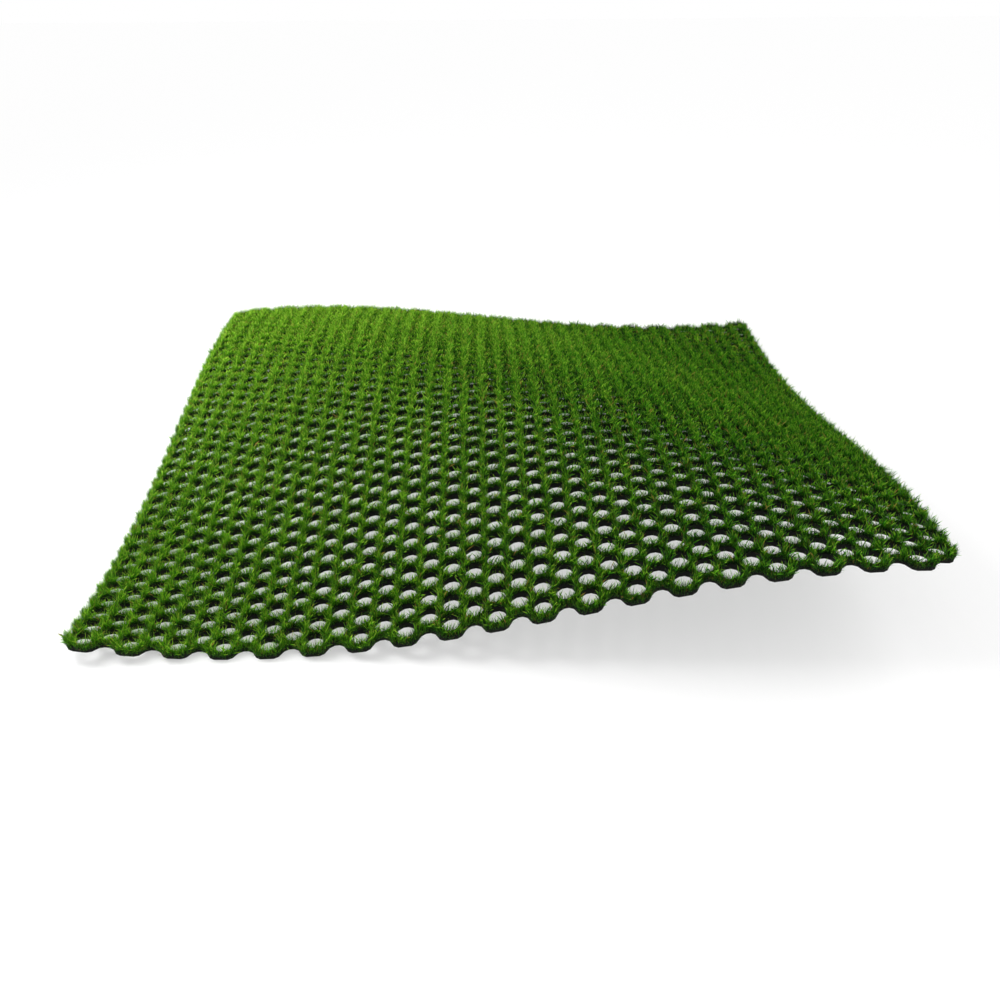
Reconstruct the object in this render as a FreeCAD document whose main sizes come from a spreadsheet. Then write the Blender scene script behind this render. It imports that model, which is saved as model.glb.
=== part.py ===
import FreeCAD, Part
import math
import os

# A flexible honeycomb mat for reinforcing grass, lying in one long diagonal wave.
# Its crest runs from the front right to the back left corner and sags towards both ends.
# The wave is strongest at the front edge, and the mat rests on the troughs beside the crest.
# Short turf grows on the webs, and every cell is open from top to bottom.
# The lattice is laid out in plan and lifted onto the wave, so its walls are upright.
# Millimetres, +Z up, front toward -Y, floor at Z = 0.

SIZES = [
    ("cell_pitch", 60, "centre to centre of two cells that share a web"),
    ("web_width", 16, "width of a web between two openings"),
    ("corner_cut", 7, "from a corner of an opening or of the rim to the flat that rounds it"),
    ("grid_thickness", 12, "depth of the black grid"),
    ("column_count", 38, "columns of cells from left to right"),
    ("row_count", 35, "cells in each column from front to back"),
    ("split_across", 5, "panels from left to right"),
    ("split_deep", 5, "panels from front to back"),
    ("wave_length", 2440, "crest to crest"),
    ("wave_turn", 42, "direction across the crest, degrees from +X"),
    ("wave_front", 131, "half height of the wave at the front edge"),
    ("wave_back", 79, "half height of the wave at the back edge"),
    ("crest_offset", 40, "the crest's distance from the middle, to the back right"),
    ("crest_sag", 70, "drop of the crest at the corners"),
    ("turf_height", 18, "blade tips over the grid"),
]

os.makedirs("parts", exist_ok=True)
doc = FreeCAD.newDocument("grass_paver_grid")
sheet = doc.addObject("Spreadsheet::Sheet", "Sizes")


def put(row, name, value, note):
    """One line of the sheet: a name, its value or formula under that alias, and a note."""
    sheet.set("A%d" % row, name)
    sheet.set("B%d" % row, str(value))
    sheet.set("C%d" % row, note)
    sheet.setAlias("B%d" % row, name)


for row, (name, value, note) in enumerate(SIZES, start=1):
    put(row, name, value, note)
doc.recompute()


def size(name):
    return float(sheet.get(name))


PITCH = size("cell_pitch")
SIDE = PITCH / math.sqrt(3)
COLUMNS = int(size("column_count"))
ROWS = int(size("row_count"))
HALF_WIDTH = 0.75 * (COLUMNS - 1) * SIDE + SIDE
HALF_DEPTH = 0.5 * (ROWS + 0.5) * PITCH
TURN = math.radians(size("wave_turn"))
# The six corner directions of a cell, counterclockwise, in half sides and half pitches.
CORNERS = [(2, 0), (1, 1), (-1, 1), (-2, 0), (-1, -1), (1, -1)]


def cell_centre(column, row):
    """Centre of a cell on the half grid: x in half sides, y in half pitches."""
    return 3 * column, 2 * row + column % 2


def to_plan(x, y):
    """A half grid point in millimetres, with the middle of the mat at zero."""
    middle_x = 1.5 * (COLUMNS - 1)
    middle_y = (ROWS - 1) + 0.5
    return (x - middle_x) * SIDE / 2, (y - middle_y) * PITCH / 2


def wave(x, y):
    """Height of the wave over its mean, before the mat is laid down."""
    across = x * math.cos(TURN) + y * math.sin(TURN) - size("crest_offset")
    along = y * math.cos(TURN) - x * math.sin(TURN)
    middle = (size("wave_front") + size("wave_back")) / 2
    change = (size("wave_back") - size("wave_front")) / 2
    half_height = middle + change * y / HALF_DEPTH
    sag = size("crest_sag") * along ** 2 / (HALF_WIDTH ** 2 + HALF_DEPTH ** 2)
    return half_height * math.cos(2 * math.pi * across / size("wave_length")) - sag


def outline(columns, rows):
    """The corners round a block of cells: the sides that only one of its cells has."""
    sides = {}
    for column in columns:
        for row in rows:
            cx, cy = cell_centre(column, row)
            ring = [(cx + dx, cy + dy) for dx, dy in CORNERS]
            for start, end in zip(ring, ring[1:] + ring[:1]):
                if start in sides.get(end, []):
                    sides[end].remove(start)
                else:
                    sides.setdefault(start, []).append(end)
    first = min(start for start, ends in sides.items() if ends)
    loop = [first]
    while True:
        following = sides[loop[-1]].pop()
        if following == first:
            return loop
        loop.append(following)


def in_turn(loop):
    """Each member of a closed loop with the one before and the one after it."""
    return zip(loop[-1:] + loop[:-1], loop, loop[1:] + loop[:1])


WHOLE_RIM = outline(range(COLUMNS), range(ROWS))
RIM_SIDES = {corner: (before, after) for before, corner, after in in_turn(WHOLE_RIM)}


def rim_point(corner):
    """A corner of the mat's rim in plan, moved out by half a web and mitred."""
    x, y = to_plan(*corner)
    before_x, before_y = to_plan(*RIM_SIDES[corner][0])
    after_x, after_y = to_plan(*RIM_SIDES[corner][1])
    # The sum of the outward normals of the two sides that meet here.
    normal_x = (after_y - before_y) / SIDE
    normal_y = (before_x - after_x) / SIDE
    reach = size("web_width") / (normal_x ** 2 + normal_y ** 2)
    return x + normal_x * reach, y + normal_y * reach


def toward(start, end, distance):
    """The point this far along the line from one plan point to another."""
    share = distance / math.dist(start, end)
    return start[0] + share * (end[0] - start[0]), start[1] + share * (end[1] - start[1])


def cut_corner(before, corner, after):
    """The two ends of the flat that rounds a corner of a closed outline."""
    return toward(corner, before, size("corner_cut")), toward(corner, after, size("corner_cut"))


def block_outline(columns, rows):
    """The outline of a block of cells in plan: the middles of webs inside the mat, its rounded rim outside.
    A seam ends in the middle of the flat that rounds a corner of the rim."""
    points = []
    for before, corner, after in in_turn(outline(columns, rows)):
        if corner not in RIM_SIDES:
            points.append(to_plan(*corner))
            continue
        rim_before, rim_after = RIM_SIDES[corner]
        first, last = cut_corner(rim_point(rim_before), rim_point(corner), rim_point(rim_after))
        middle = (first[0] + last[0]) / 2, (first[1] + last[1]) / 2
        points.append(first if before == rim_before else middle)
        points.append(last if after == rim_after else middle)
    return points


def best(worth, low, high):
    """Where a function with one peak is largest, by thirds."""
    while high - low > 1e-6:
        third = (high - low) / 3
        if worth(low + third) < worth(high - third):
            low += third
        else:
            high -= third
    return (low + high) / 2


RIM = [(x, y, wave(x, y)) for x, y in block_outline(range(COLUMNS), range(ROWS))]


def clearance(slope_x, slope_y):
    """Height under the middle of the mat of a plane with these slopes that touches the rim."""
    return min(z - slope_x * x - slope_y * y for x, y, z in RIM)


def best_side_slope(slope_y):
    return best(lambda slope_x: clearance(slope_x, slope_y), -0.2, 0.2)


# The mat lies on the plane that touches it from below and is highest under its middle.
SLOPE_Y = best(lambda slope_y: clearance(best_side_slope(slope_y), slope_y), -0.2, 0.2)
SLOPE_X = best_side_slope(SLOPE_Y)
put(len(SIZES) + 1, "floor_drop", -clearance(SLOPE_X, SLOPE_Y), "floor under the wave's mean")
put(len(SIZES) + 2, "turf_base", "=floor_drop + grid_thickness", "foot of the turf")
doc.recompute()


def lift(x, y):
    """A plan point on the laid wave, with its mean height still at zero."""
    return FreeCAD.Vector(x, y, wave(x, y) - SLOPE_X * x - SLOPE_Y * y)


def wave_surface():
    """A spline surface through the wave on a square mesh that reaches past the mat."""
    step = size("wave_length") / 12
    count_x = int(math.ceil((HALF_WIDTH + PITCH) / step))
    count_y = int(math.ceil((HALF_DEPTH + PITCH) / step))
    surface = Part.BSplineSurface()
    surface.interpolate([
        [lift(step * a, step * b) for b in range(-count_y, count_y + 1)]
        for a in range(-count_x, count_x + 1)
    ])
    return surface


SURFACE = wave_surface()


def on_wave(points):
    """A closed outline through plan points, each lifted onto the wave."""
    lifted = [lift(x, y) for x, y in points]
    return Part.makePolygon(lifted + [lifted[0]])


def opening(column, row, rounded):
    """One hexagonal opening, clockwise, a web's width from the next, with rounded corners or sharp ones."""
    radius = (PITCH - size("web_width")) / math.sqrt(3)
    x, y = to_plan(*cell_centre(column, row))
    turns = [math.radians(-60 * n) for n in range(6)]
    corners = [(x + radius * math.cos(turn), y + radius * math.sin(turn)) for turn in turns]
    if rounded:
        corners = [end for three in in_turn(corners) for end in cut_corner(*three)]
    return on_wave(corners)


def lattice(columns, rows, rounded):
    """A block of the honeycomb as one face on the wave, with its openings cut out."""
    face = Part.Face(SURFACE, on_wave(block_outline(columns, rows)))
    for column in columns:
        for row in rows:
            face = Part.Face(face, opening(column, row, rounded))
    face.fix(0.001, 0.001, 0.5)
    return face


def spans(count, parts):
    """A run of cells split into nearly equal blocks."""
    marks = [int(count * k / parts + 0.5) for k in range(parts + 1)]
    return [range(a, b) for a, b in zip(marks, marks[1:])]


# The turf is a plain solid round the blades, so its openings keep sharp corners.
LAYERS = [("grid", "grid_thickness", "floor_drop", True), ("turf", "turf_height", "turf_base", False)]
for across, columns in enumerate(spans(COLUMNS, int(size("split_across")))):
    for deep, rows in enumerate(spans(ROWS, int(size("split_deep")))):
        for layer, height, base, rounded in LAYERS:
            name = "%s_panel_%s%d" % (layer, "abcdefgh"[across], deep + 1)
            panel = doc.addObject("Part::Feature", name)
            panel.Label = name
            panel.Shape = lattice(columns, rows, rounded).extrude(FreeCAD.Vector(0, 0, size(height)))
            panel.setExpression("Placement.Base.z", "Sizes.%s" % base)

doc.recompute()
for item in doc.Objects:
    assert "Invalid" not in item.State and "Error" not in item.State, item.Label
    if item.TypeId == "Part::Feature":
        assert not item.Shape.isNull() and item.Shape.isValid(), item.Label
        assert len(item.Shape.Solids) == 1, item.Label
        item.Shape.exportStep("parts/%s.step" % item.Label)
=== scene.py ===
# %% [markdown]
# # A grass paver grid with short turf on its webs
#
# The real thing is a thin black honeycomb mat that lies over soil, with short grass growing on its webs.
# The mat has kept a long diagonal wave. Two kinds of matter make the picture: matt black rubber, which
# drinks the light, and living grass, which is made of hundreds of thousands of narrow blades.
#
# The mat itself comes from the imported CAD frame. The grass can't: it is a fuzzy pile, and only real blades
# give it the ragged edge that it has against the openings. So this lesson keeps the frame's honeycomb and
# plants blades on it. Everything is in metres, in the frame's own place.

import math

import bpy
import numpy as np
from mathutils import Matrix, Vector


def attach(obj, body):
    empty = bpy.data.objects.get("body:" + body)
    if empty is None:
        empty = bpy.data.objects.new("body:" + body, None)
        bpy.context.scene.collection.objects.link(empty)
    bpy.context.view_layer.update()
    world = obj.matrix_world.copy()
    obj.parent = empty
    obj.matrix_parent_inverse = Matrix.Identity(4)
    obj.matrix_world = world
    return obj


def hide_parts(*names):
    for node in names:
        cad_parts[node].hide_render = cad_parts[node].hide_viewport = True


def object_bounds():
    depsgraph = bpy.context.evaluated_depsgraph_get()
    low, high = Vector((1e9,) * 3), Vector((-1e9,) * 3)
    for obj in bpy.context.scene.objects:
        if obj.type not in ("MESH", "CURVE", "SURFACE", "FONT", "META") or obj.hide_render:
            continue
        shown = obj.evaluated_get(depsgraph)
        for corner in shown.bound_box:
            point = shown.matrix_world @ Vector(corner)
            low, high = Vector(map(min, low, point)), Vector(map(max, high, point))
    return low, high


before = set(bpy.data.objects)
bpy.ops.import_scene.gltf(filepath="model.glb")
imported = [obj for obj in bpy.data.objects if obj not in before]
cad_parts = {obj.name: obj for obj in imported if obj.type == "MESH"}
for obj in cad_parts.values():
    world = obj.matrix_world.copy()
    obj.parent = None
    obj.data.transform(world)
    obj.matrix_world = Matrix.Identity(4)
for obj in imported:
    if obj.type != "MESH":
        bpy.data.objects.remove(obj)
cad_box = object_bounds()
print("CAD box:", cad_box)
MM = 0.001

# %% [markdown]
# ## Which nodes are which
#
# The frame has twenty-five grid panels and a turf panel over each, lettered from left to right and numbered
# from front to back. A turf panel is a plain slab that only says where the grass is, so a piece made of
# blades will stand for each of them.

# %% Panel names


def layer_nodes(layer):
    """The nodes of one layer, each under its panel's letter and number."""
    start = layer + "_panel_"
    names = [name for name in sorted(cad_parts) if name.startswith(start)]
    return {name[len(start):]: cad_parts[name] for name in names}


grid_nodes = layer_nodes("grid")
turf_nodes = layer_nodes("turf")
panels = list(grid_nodes)
print("panels:", len(panels), panels[0], "to", panels[-1])

# %% [markdown]
# ## Small helpers for materials
#
# Colours are written as sRGB hex, the way they are read off a screen, and one function turns them to the
# linear values that the shader wants. Another function adds one node of any kind with its settings and its
# links. A Mix node has sockets for every type of data under the same names, so they are called by number
# where it mixes colours: 0 is the share of the second colour, 6 and 7 are the two that go in, and 2 comes
# out.

# %% Colour and node helpers


def linear(hex_colour):
    """Linear RGBA from sRGB hex. A value up to 0.04045 is divided by 12.92. A higher one has 0.055 added, is
    divided by 1.055 and is raised to the power 2.4."""
    values = np.array([int(hex_colour[k:k + 2], 16) for k in (0, 2, 4)]) / 255
    low = values / 12.92
    high = ((values + 0.055) / 1.055) ** 2.4
    return (*np.where(values <= 0.04045, low, high).tolist(), 1.0)


def add(tree, kind, inputs=None, stops=None, **settings):
    """Adds a node of this kind. inputs are its sockets, each with a value or a socket to link. stops are a
    colour ramp's positions, each with its hex colour. settings are the node's own properties."""
    node = tree.nodes.new(kind)
    for name, value in settings.items():
        setattr(node, name, value)
    for name, value in (inputs or {}).items():
        if isinstance(value, bpy.types.NodeSocket):
            tree.links.new(value, node.inputs[name])
        else:
            node.inputs[name].default_value = value
    if stops:
        colours = node.color_ramp.elements
        while len(colours) < len(stops):
            colours.new(0.5)
        for colour, (position, hex_colour) in zip(colours, stops.items()):
            colour.position = position
            colour.color = linear(hex_colour)
    return node


def new_material(name):
    """An empty node material and its tree."""
    material = bpy.data.materials.new(name)
    material.use_nodes = True
    material.node_tree.nodes.clear()
    return material, material.node_tree


print("mid grey 808080 in linear values:", linear("808080")[:3])

# %% [markdown]
# ## The grid: moulded rubber
#
# A flexible mat like this one is moulded from black rubber. Carbon black makes it the darkest thing in the
# picture, and the moulded skin is matt, with a faint grain of about 2 mm. One flat black would look like a
# hole in the picture, so one noise varies both the colour and the height of the skin. The IOR is that of
# rubber, about 1.52.

# %% Material: matt black moulded rubber
GRAIN = 2 * MM
GRAIN_DEPTH = 0.3 * MM


def moulded_rubber():
    """Near black and rough, with one noise in the colour and the bump."""
    material, tree = new_material("matt black moulded rubber")
    place = add(tree, "ShaderNodeTexCoord").outputs["Object"]
    noise = add(tree, "ShaderNodeTexNoise", {"Vector": place, "Scale": 1 / GRAIN, "Detail": 3.0})
    height = noise.outputs["Fac"]
    colour = add(tree, "ShaderNodeValToRGB", {"Fac": height}, stops={0.3: "040603", 0.7: "0a0e08"})
    bump = add(tree, "ShaderNodeBump", {"Height": height, "Strength": 0.3, "Distance": GRAIN_DEPTH})
    surface = add(tree, "ShaderNodeBsdfPrincipled", {
        "Base Color": colour.outputs["Color"],
        "Normal": bump.outputs["Normal"],
        "Roughness": 0.85,
        "IOR": 1.52,
        "Specular IOR Level": 0.25,
    })
    add(tree, "ShaderNodeOutputMaterial", {"Surface": surface.outputs["BSDF"]})
    return material


rubber = moulded_rubber()
print("made:", rubber.name)

# %% [markdown]
# ## The grass: living blades
#
# A blade of lawn grass is a thin waxy leaf, and no two blades have the same green. Here each blade is
# darkest at its foot and lightest at its tip: the dark foot is painted shade, for the shade that the blades
# cast on each other, and the rest is the leaf's own green. One colour for all would look like felt. Each
# blade therefore carries two numbers of its own in attributes: "along", which is 0 at the foot and 1 at the
# tip, and "tint", which is the same all over one blade.
#
# Two ramps hold the greens from foot to tip, with painted shade at the foot: a fresh yellowish one and a
# deep one. Four things say how fresh a blade is: its own tint, patches the size of a hand, tufts of about 14
# mm, and the side of the mat. The last is painted light: the grass is coloured lighter and yellower towards
# the left, as if more light fell there. A few blades have dried to straw, as in any lawn. The wax gives a
# soft gloss, with an IOR of 1.42.

# %% Material: short living grass
PATCH = 160 * MM
TUFT = 14 * MM
# Painted light: the left of the mat is coloured lighter and fresher, as if more light fell there. Between
# these places across it, in metres, it gains this much.
LEFT_LIGHT_SHARE = 0.66
LEFT_LIGHT_FROM = 0.5
LEFT_LIGHT_TO = -0.8
# A dark tuft and a light one add this much.
TUFT_DARK = -0.5
TUFT_LIGHT = 0.45
STRAW_TINT = 0.965  # a blade whose tint is higher is straw


def freshness_and_left_light(tree, tint):
    """How fresh a blade is: its tint times the patch noise, plus its tuft, plus painted light that its place
    adds towards the left of the mat.
    """
    place = add(tree, "ShaderNodeTexCoord").outputs["Object"]
    patch = add(tree, "ShaderNodeTexNoise", {"Vector": place, "Scale": 1 / PATCH, "Detail": 2.0})
    tuft = add(tree, "ShaderNodeTexNoise", {"Vector": place, "Scale": 1 / TUFT, "Detail": 1.0})
    across = add(tree, "ShaderNodeSeparateXYZ", {"Vector": place}).outputs["X"]
    # Painted light: this map makes the grass lighter and fresher towards the left of the mat.
    side = add(tree, "ShaderNodeMapRange", {
        "Value": across, "From Min": LEFT_LIGHT_FROM, "From Max": LEFT_LIGHT_TO, "To Min": 0.0, "To Max": LEFT_LIGHT_SHARE,
    })
    lift = add(tree, "ShaderNodeMapRange", {
        "Value": tuft.outputs["Fac"],
        "From Min": 0.3, "From Max": 0.7, "To Min": TUFT_DARK, "To Max": TUFT_LIGHT,
    })
    base = add(tree, "ShaderNodeMath", {
        0: side.outputs["Result"], 1: lift.outputs["Result"],
    }, operation="ADD")
    fresh = add(tree, "ShaderNodeMath", {
        0: tint, 1: patch.outputs["Fac"], 2: base.outputs["Value"],
    }, operation="MULTIPLY_ADD")
    return fresh.outputs["Value"]


def living_grass():
    """Dark foot, which is painted shade, to light tip, mixed from a deep and a fresh green. About one blade
    in thirty is straw.
    """
    material, tree = new_material("short living grass")
    along = add(tree, "ShaderNodeAttribute", attribute_name="along").outputs["Fac"]
    tint = add(tree, "ShaderNodeAttribute", attribute_name="tint").outputs["Fac"]
    # The near-black foot of each ramp, the straw's too, is painted shade from the blades around it.
    deep = add(tree, "ShaderNodeValToRGB", {"Fac": along},
               stops={0.0: "030901", 0.3: "092203", 0.6: "1e6006", 1.0: "74cc28"})
    fresh = add(tree, "ShaderNodeValToRGB", {"Fac": along},
                stops={0.0: "061402", 0.3: "1e4604", 0.6: "62b010", 1.0: "e6ff62"})
    straw = add(tree, "ShaderNodeValToRGB", {"Fac": along}, stops={0.0: "0b1c03", 1.0: "b89c4c"})
    green = add(tree, "ShaderNodeMix", {
        0: freshness_and_left_light(tree, tint), 6: deep.outputs["Color"], 7: fresh.outputs["Color"],
    }, data_type="RGBA")
    dried = add(tree, "ShaderNodeMath", {0: tint, 1: STRAW_TINT}, operation="GREATER_THAN")
    colour = add(tree, "ShaderNodeMix", {
        0: dried.outputs["Value"], 6: green.outputs[2], 7: straw.outputs["Color"],
    }, data_type="RGBA")
    surface = add(tree, "ShaderNodeBsdfPrincipled", {
        "Base Color": colour.outputs[2],
        "Roughness": 0.5,
        "IOR": 1.42,
        "Specular IOR Level": 0.15,
    })
    add(tree, "ShaderNodeOutputMaterial", {"Surface": surface.outputs["BSDF"]})
    return material


grass = living_grass()
print("made:", grass.name)

# %% [markdown]
# ## Where grass can grow
#
# Grass grows on top of the webs, and along the mat's outer rim it also hangs over the upright edge, so that
# less of the black shows there. The frame's own mesh says where both are: the triangles of a grid panel
# that face up, and the upright ones that face outwards near one of the four sides.

# %% Triangles of a node


def triangles_of(node):
    """The corners of a node's triangles, and their normals: two sides' cross product over its own length."""
    mesh = node.data
    mesh.calc_loop_triangles()
    places = np.empty(len(mesh.vertices) * 3)
    mesh.vertices.foreach_get("co", places)
    index = np.empty(len(mesh.loop_triangles) * 3, dtype=np.int32)
    mesh.loop_triangles.foreach_get("vertices", index)
    corners = places.reshape(-1, 3)[index].reshape(-1, 3, 3)
    normal = np.cross(corners[:, 1] - corners[:, 0], corners[:, 2] - corners[:, 0])
    return corners, normal / np.linalg.norm(normal, axis=1, keepdims=True)


print("triangles of panel", panels[0] + ":", len(triangles_of(grid_nodes[panels[0]])[0]))

# %% Faces to plant
# The rim's walls lie this near to a side of the mat. Walls of openings that face the same way lie deeper in.
RIM_DEPTH = 36 * MM
RIM_SHARE = 0.6  # how much of the edge's height has roots, from the top down
# A face looks up where its normal's z is above the first value, and to a side where its x or y is above the
# second. It is upright where z is under the third.
LOOKS_UP = 0.7
LOOKS_ASIDE = 0.3
UPRIGHT = 0.1


def web_tops(node):
    """The triangles that face up."""
    corners, normal = triangles_of(node)
    return corners[normal[:, 2] > LOOKS_UP]


def rim_walls(node):
    """The upright triangles of the rim, squeezed to the upper part of their height, and their normals."""
    corners, normal = triangles_of(node)
    middle = corners.mean(axis=1)
    low, high = np.array(cad_box)
    outer = np.zeros(len(corners), dtype=bool)
    for axis in (0, 1):
        outer |= (middle[:, axis] < low[axis] + RIM_DEPTH) & (normal[:, axis] < -LOOKS_ASIDE)
        outer |= (middle[:, axis] > high[axis] - RIM_DEPTH) & (normal[:, axis] > LOOKS_ASIDE)
    outer &= np.abs(normal[:, 2]) < UPRIGHT
    corners, normal = corners[outer], normal[outer]
    top = corners[:, :, 2].max(axis=1, keepdims=True)
    corners[:, :, 2] = top - RIM_SHARE * (top - corners[:, :, 2])
    return corners, normal


print("of them face up:", len(web_tops(grid_nodes[panels[0]])), "and lie on the rim:",
      len(rim_walls(grid_nodes[panels[0]])[0]))

# %% [markdown]
# ## Roots
#
# Points spread over those triangles in proportion to their area give an even stand. A point in a triangle
# is one corner plus a share of each of the two sides that start there. Two random shares fill a whole
# parallelogram, so where they add up to more than one, both are counted from the other end, which folds the
# point back inside.

# %% Roots


def roots(corners, per_square_metre, rng):
    """Even random points on triangles, and the number of the triangle that each lies on."""
    side_a = corners[:, 1] - corners[:, 0]
    side_b = corners[:, 2] - corners[:, 0]
    area = 0.5 * np.linalg.norm(np.cross(side_a, side_b), axis=1)
    count = int(area.sum() * per_square_metre)
    if not count:
        return np.empty((0, 3)), np.empty(0, dtype=int)
    pick = rng.choice(len(corners), size=count, p=area / area.sum())
    a, b = rng.random((2, count, 1))
    outside = a + b > 1
    a = np.where(outside, 1 - a, a)
    b = np.where(outside, 1 - b, b)
    return corners[pick, 0] + a * side_a[pick] + b * side_b[pick], pick


print("roots on panel", panels[0], "at 1,000 a square metre:",
      len(roots(web_tops(grid_nodes[panels[0]]), 1000, np.random.default_rng(1))[1]))

# %% [markdown]
# ## Two kinds of blade, many times
#
# Seen from the side, a lawn is a few long blades that bow over, above a thicket of short straight ones that
# hides the ground. A long blade is folded once along its length, so two triangles are enough for it, and
# one is enough for a short blade. Most blades stand fairly upright and a few lean far over, so the lean is
# drawn from a bell curve with its spread in degrees.
#
# Blender's hair could grow such a pile too, but the model that is exported holds meshes only, so the blades
# are worked out as arrays. A loop over more than eight hundred thousand of them would be slow.

# %% Blades
LONG = {"height": 23 * MM, "width": 1.2 * MM, "lean": 28, "per_square_metre": 55_000}
SHORT = {"height": 13 * MM, "width": 1.2 * MM, "lean": 34, "per_square_metre": 320_000}
# How blades differ, as shares of their kind's height and width: the height's spread, and the limits of both.
HEIGHT_SPREAD = 0.22
HEIGHT_LIMITS = 0.45, 1.4
WIDTH_LIMITS = 0.6, 1.2
MOST_LEAN = 85  # degrees from upright
TWIST = 0.7  # radians: the spread of the angle between a blade's width and straight across its bow


def level(angle):
    """Level vectors of length 1: the angle's cosine and sine."""
    return np.stack([np.cos(angle), np.sin(angle), 0 * angle], axis=1)


def reach(kind, heading, rng):
    """Rise, bow and half width of each blade as vectors. The rise is the height times the lean's cosine, the
    bow the height times its sine along the heading, and the width runs roughly across the bow."""
    count = len(heading)
    tall = kind["height"] * np.clip(rng.normal(1.0, HEIGHT_SPREAD, count), *HEIGHT_LIMITS)
    wide = kind["width"] * rng.uniform(*WIDTH_LIMITS, count)
    lean = np.radians(np.clip(np.abs(rng.normal(0, kind["lean"], count)), 0, MOST_LEAN))
    across = heading + math.pi / 2 + rng.normal(0, TWIST, count)
    rise = (np.cos(lean) * tall)[:, None] * np.array([0, 0, 1.0])
    bow = (np.sin(lean) * tall)[:, None] * level(heading)
    half = 0.5 * wide[:, None] * level(across)
    return rise, bow, half


print("triangles a square metre:", 2 * LONG["per_square_metre"] + SHORT["per_square_metre"])

# %% [markdown]
# ## From rise and bow to points
#
# A long blade has four points: two at its foot, one at the fold, and the tip. The fold lies more than
# halfway up, but less than halfway along the bow, which bends the blade, and a bit to one side. A short
# blade has only its foot and its tip. The thicket is taller towards the left side of the mat, where it has
# had more light.

# %% Long blades and short ones
# The fold lies at these shares of the rise, the bow and, to one side, the half width.
FOLD_RISE = 0.6
FOLD_BOW = 0.4
FOLD_SIDE = 0.7
# Each kind's triangles, and how far along the blade each of its points counts. The tip of a short blade
# counts less, and so is darker: painted shade, for the shade of the long ones above it.
LONG_TRIANGLES = np.array([[0, 1, 2], [0, 2, 3]])
LONG_ALONG = [0.0, 0.0, FOLD_RISE, 1.0]
LONG_POINTS = len(LONG_ALONG)
SHORT_TRIANGLES = np.array([[0, 1, 2]])
SHORT_ALONG = [0.05, 0.05, 0.8]
SHORT_POINTS = len(SHORT_ALONG)
# Short blades grow taller towards the left, by this share for each half width of the mat. This starts at a
# place counted from the middle and stops after a distance, both in half widths.
GROWTH = 0.3
GROWTH_FROM = 0.5
GROWTH_DISTANCE = 1.2


def long_blades(foot, heading, rng):
    """Four points a blade: the foot's two, the fold and the tip, at the foot plus rise plus bow."""
    rise, bow, half = reach(LONG, heading, rng)
    fold = foot + FOLD_RISE * rise + FOLD_BOW * bow + FOLD_SIDE * half
    return np.stack([foot - half, foot + half, fold, foot + rise + bow], axis=1)


def short_blades(foot, heading, rng):
    """Three points a blade: the foot's two and the tip. Rise plus bow are multiplied by the growth."""
    rise, bow, half = reach(SHORT, heading, rng)
    growth = 1 + GROWTH * np.clip(GROWTH_FROM - foot[:, :1] / cad_box[1][0], 0, GROWTH_DISTANCE)
    return np.stack([foot - half, foot + half, foot + growth * (rise + bow)], axis=1)


print("short blades are up to", round(1 + GROWTH * GROWTH_DISTANCE, 2), "times as tall on the left")

# %% [markdown]
# ## A stand of grass
#
# On the webs the blades head anywhere. On the rim only short ones grow, and they head away from its wall,
# most of them within about thirty-five degrees. That makes three groups for each panel.

# %% Stand
FRINGE_SPREAD = 0.6  # radians: the spread of the angle between a rim blade's heading and straight outwards


def stand(panel, rng):
    """All the long blades of a panel, and all its short ones, as arrays of blade by point by x, y, z."""
    tops = web_tops(grid_nodes[panel])
    walls, normal = rim_walls(grid_nodes[panel])
    foot, _ = roots(tops, LONG["per_square_metre"], rng)
    long = long_blades(foot, rng.uniform(0, 2 * math.pi, len(foot)), rng)
    foot, _ = roots(tops, SHORT["per_square_metre"], rng)
    short = short_blades(foot, rng.uniform(0, 2 * math.pi, len(foot)), rng)
    foot, wall = roots(walls, SHORT["per_square_metre"], rng)
    outwards = np.arctan2(normal[wall, 1], normal[wall, 0]) + rng.normal(0, FRINGE_SPREAD, len(foot))
    fringe = short_blades(foot, outwards, rng)
    return long, np.concatenate([short, fringe])


print("long and short blades on panel", panels[0] + ":",
      [len(blades) for blades in stand(panels[0], np.random.default_rng(1))])

# %% [markdown]
# ## Plant every panel
#
# Each panel gets its own piece of grass, which keeps every piece far under two hundred thousand triangles.
# Its points, triangles and attributes go into the mesh as whole arrays, with foreach_set. The piece rides
# on the mat and stands for the turf slab of the same panel. One seed starts all the random numbers, so
# every run plants the same blades.

# %% Plant


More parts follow.
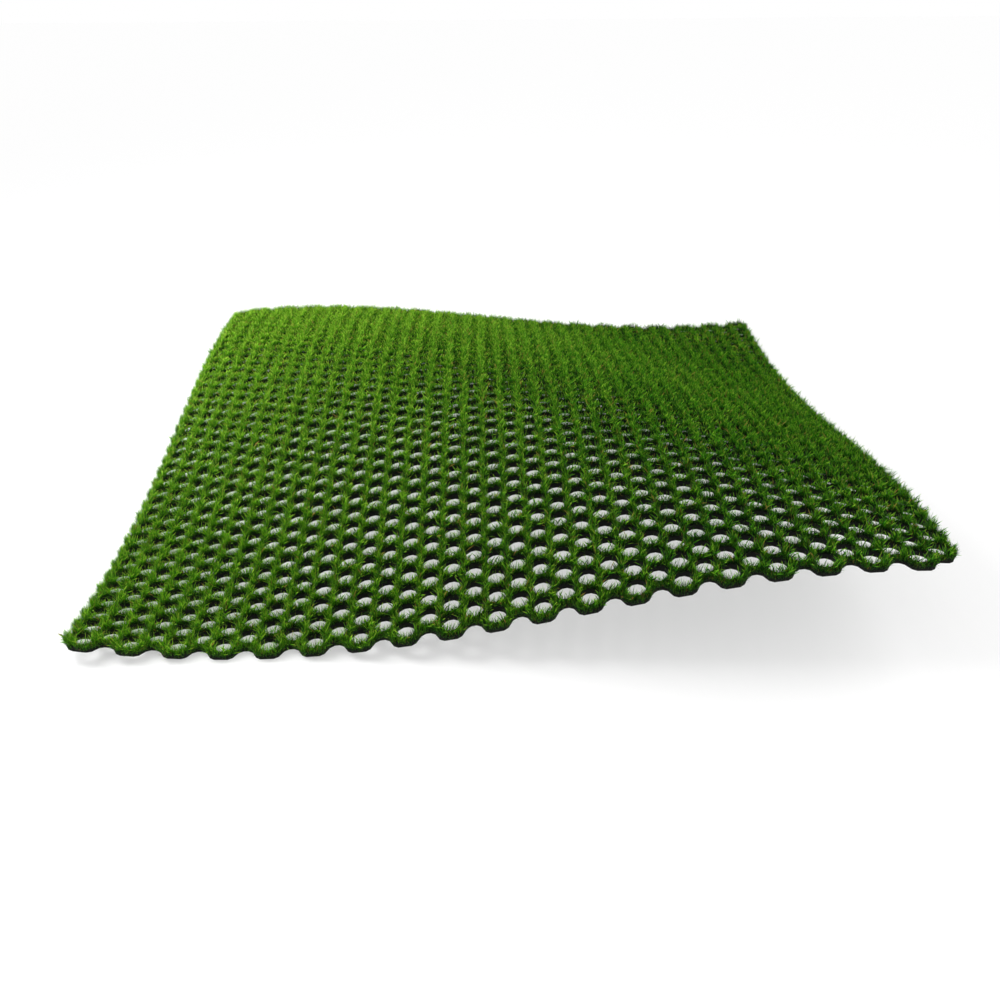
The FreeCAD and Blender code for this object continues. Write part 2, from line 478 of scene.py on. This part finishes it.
def grass_piece(panel, rng):
    """One mesh with all the blades of a panel, the long ones first. The triangles of each blade are those of
    its kind, with the number of its first point added."""
    long, short = stand(panel, rng)
    first_long = LONG_POINTS * np.arange(len(long))[:, None, None]
    first_short = LONG_POINTS * len(long) + SHORT_POINTS * np.arange(len(short))[:, None, None]
    triangles = np.concatenate([
        (first_long + LONG_TRIANGLES).ravel(),
        (first_short + SHORT_TRIANGLES).ravel(),
    ])
    mesh = bpy.data.meshes.new("grass_" + panel)
    mesh.vertices.add((long.size + short.size) // 3)
    mesh.vertices.foreach_set("co", np.concatenate([long.ravel(), short.ravel()]))
    mesh.loops.add(triangles.size)
    mesh.loops.foreach_set("vertex_index", triangles)
    mesh.polygons.add(triangles.size // 3)
    mesh.polygons.foreach_set("loop_start", np.arange(0, triangles.size, 3))
    mesh.update(calc_edges=True)
    along = np.concatenate([np.tile(LONG_ALONG, len(long)), np.tile(SHORT_ALONG, len(short))])
    tint = np.concatenate([
        np.repeat(rng.random(len(long)), LONG_POINTS),
        np.repeat(rng.random(len(short)), SHORT_POINTS),
    ])
    mesh.attributes.new("along", "FLOAT", "POINT").data.foreach_set("value", along)
    mesh.attributes.new("tint", "FLOAT", "POINT").data.foreach_set("value", tint)
    mesh.materials.append(grass)
    piece = bpy.data.objects.new("grass_" + panel, mesh)
    bpy.context.scene.collection.objects.link(piece)
    return piece


rng = np.random.default_rng(659)
pieces = [grass_piece(panel, rng) for panel in panels]
for panel, piece in zip(panels, pieces):
    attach(piece, "root")
    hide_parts("turf_panel_" + panel)
counts = [len(piece.data.polygons) for piece in pieces]
print("triangles of grass:", sum(counts), "and in the largest piece:", max(counts))

# %% [markdown]
# ## The frame's own nodes
#
# The honeycomb is shown as it comes from the frame, so all it needs is the rubber. The turf slabs are
# hidden, because the blades stand for them, and get the grass all the same, so that no node is left without
# its finish.

# %% Dress the nodes
for nodes, material in ((grid_nodes, rubber), (turf_nodes, grass)):
    for node in nodes.values():
        node.data.materials.clear()
        node.data.materials.append(material)
print("nodes dressed:", len(grid_nodes) + len(turf_nodes))

# %% [markdown]
# ## White all round, without white light
#
# The photograph is lit softly against pure white. More light would do that too, but it would wash out the
# grass. So the floor and the world are white only for the rays that show them: those from the camera, and
# those that see them in a gloss or through something clear. Light Path tells these apart.

# %% Rays that show the background


def shows_background(tree):
    """1 for a camera, glossy or transmission ray, else 0: the largest of those three Light Path outputs."""
    rays = add(tree, "ShaderNodeLightPath").outputs
    either = add(tree, "ShaderNodeMath", {
        0: rays["Is Camera Ray"], 1: rays["Is Glossy Ray"],
    }, operation="MAXIMUM")
    any_of_three = add(tree, "ShaderNodeMath", {
        0: either.outputs["Value"], 1: rays["Is Transmission Ray"],
    }, operation="MAXIMUM")
    return any_of_three.outputs["Value"]


print("the glow is for camera, glossy and transmission rays")

# %% [markdown]
# ## Floor: a roll of white paper
#
# The mat has to stand on something, or its shadow goes. Pure glow would hide that shadow and plain paint
# would be grey, so a background ray gets a mix: a bit less than half glow of strength 1, which is white,
# and the rest paint.

# %% Floor
GLOW_SHARE = 0.45
FLOOR_REACH = 15  # metres from the middle to each side


def pale_floor():
    """A flat square at height 0."""
    mesh = bpy.data.meshes.new("floor")
    signs = ((-1, -1), (1, -1), (1, 1), (-1, 1))
    mesh.from_pydata([(FLOOR_REACH * x, FLOOR_REACH * y, 0) for x, y in signs], [], [(0, 1, 2, 3)])
    material, tree = new_material("matt white backdrop paper")
    paint = add(tree, "ShaderNodeBsdfDiffuse", {"Color": linear("fdfdfd")})
    glow = add(tree, "ShaderNodeEmission", {"Color": (1, 1, 1, 1), "Strength": 1.0})
    share = add(tree, "ShaderNodeMath", {0: shows_background(tree), 1: GLOW_SHARE}, operation="MULTIPLY")
    both = add(tree, "ShaderNodeMixShader", {
        0: share.outputs["Value"], 1: paint.outputs["BSDF"], 2: glow.outputs["Emission"],
    })
    add(tree, "ShaderNodeOutputMaterial", {"Surface": both.outputs["Shader"]})
    mesh.materials.append(material)
    floor = bpy.data.objects.new("floor", mesh)
    bpy.context.scene.collection.objects.link(floor)
    return floor


floor = pale_floor()
print("floor:", tuple(floor.dimensions))

# %% [markdown]
# ## World: the light from all round
#
# Most of the light comes from everywhere at once, as under a cloudy sky, which keeps the shadows soft. A
# background ray sees strength 1, and every other ray finds the plain level.

# %% World
WORLD_LEVEL = 0.66


def soft_world():
    """White to the rays that show the background, a plain soft light to everything else."""
    world = bpy.data.worlds.new("soft white")
    world.use_nodes = True
    tree = world.node_tree
    tree.nodes.clear()
    strength = add(tree, "ShaderNodeMapRange", {
        "Value": shows_background(tree), "To Min": WORLD_LEVEL, "To Max": 1.0,
    })
    glow = add(tree, "ShaderNodeBackground", {"Color": (1, 1, 1, 1), "Strength": strength.outputs["Result"]})
    add(tree, "ShaderNodeOutputWorld", {"Surface": glow.outputs["Background"]})
    return world


bpy.context.scene.world = soft_world()
print("world:", bpy.context.scene.world.name, WORLD_LEVEL)

# %% [markdown]
# ## Two lamps
#
# In the photograph the left of the mat is bright and its shadow falls to the front. So a large softbox
# stands on the left, and a very wide sun comes from behind on the right: it rims the blades, puts the far
# walls of the openings in the dark and throws the soft shadow forward. A lamp shines along its own -Z, so
# the turn is worked out from the line between its place and its target.

# %% Lamps


def aim(lamp, place, target):
    """Puts a lamp at a place and turns it to a target, both in metres."""
    holder = bpy.data.objects.new(lamp.name, lamp)
    holder.location = place
    holder.rotation_euler = (Vector(place) - Vector(target)).to_track_quat("Z", "Y").to_euler()
    bpy.context.scene.collection.objects.link(holder)


softbox = bpy.data.lights.new("softbox", "AREA")
softbox.shape = "RECTANGLE"
softbox.size = 1.2
softbox.size_y = 2.4
softbox.energy = 82
aim(softbox, place=(-2.2, -0.2, 1.6), target=(-0.2, -0.2, 0.1))

back_light = bpy.data.lights.new("back light", "SUN")
back_light.energy = 2.2
back_light.angle = math.radians(40)
aim(back_light, place=(2.4, 2.5, 1.9), target=(0, 0, 0))
print("softbox:", softbox.energy, "W; back light:", round(back_light.energy, 2), "W/m2")

# %% [markdown]
# ## Camera
#
# The rows of openings give the view away: where the lines of cells run together, and how fast they shrink,
# say how high the camera stood and how wide it saw. The values below put the mat's lattice over the
# photograph's. The lens isn't shifted and has no depth of field, so that other views can be taken with the
# same camera.

# %% Camera
CAMERA_PLACE = (-0.0589, -3.0984, 1.4884)
# Degrees: round to the right from the mat's front, up from the floor, and the turn about the line of sight.
CAMERA_AZIMUTH = -1.14
CAMERA_ELEVATION = 28.28
CAMERA_ROLL = -0.33
FOCAL_PIXELS = 1100.6  # the focal length, counted in pixels of the picture
IMAGE_PIXELS = 1000  # the picture's width
SENSOR_WIDTH = 36  # millimetres

lens = bpy.data.cameras.new("camera")
lens.sensor_width = SENSOR_WIDTH
lens.lens = SENSOR_WIDTH * FOCAL_PIXELS / IMAGE_PIXELS
camera = bpy.data.objects.new("camera", lens)
camera.location = CAMERA_PLACE
turn = Matrix.Rotation(math.radians(CAMERA_AZIMUTH), 3, "Z")
tilt = Matrix.Rotation(math.radians(90 - CAMERA_ELEVATION), 3, "X")
roll = Matrix.Rotation(math.radians(CAMERA_ROLL), 3, "Z")
camera.rotation_euler = (turn @ tilt @ roll).to_euler()
bpy.context.scene.collection.objects.link(camera)
bpy.context.scene.camera = camera
bpy.context.scene.view_settings.view_transform = "Standard"
print("lens:", round(lens.lens, 2), "mm at", tuple(round(value, 3) for value in camera.location))
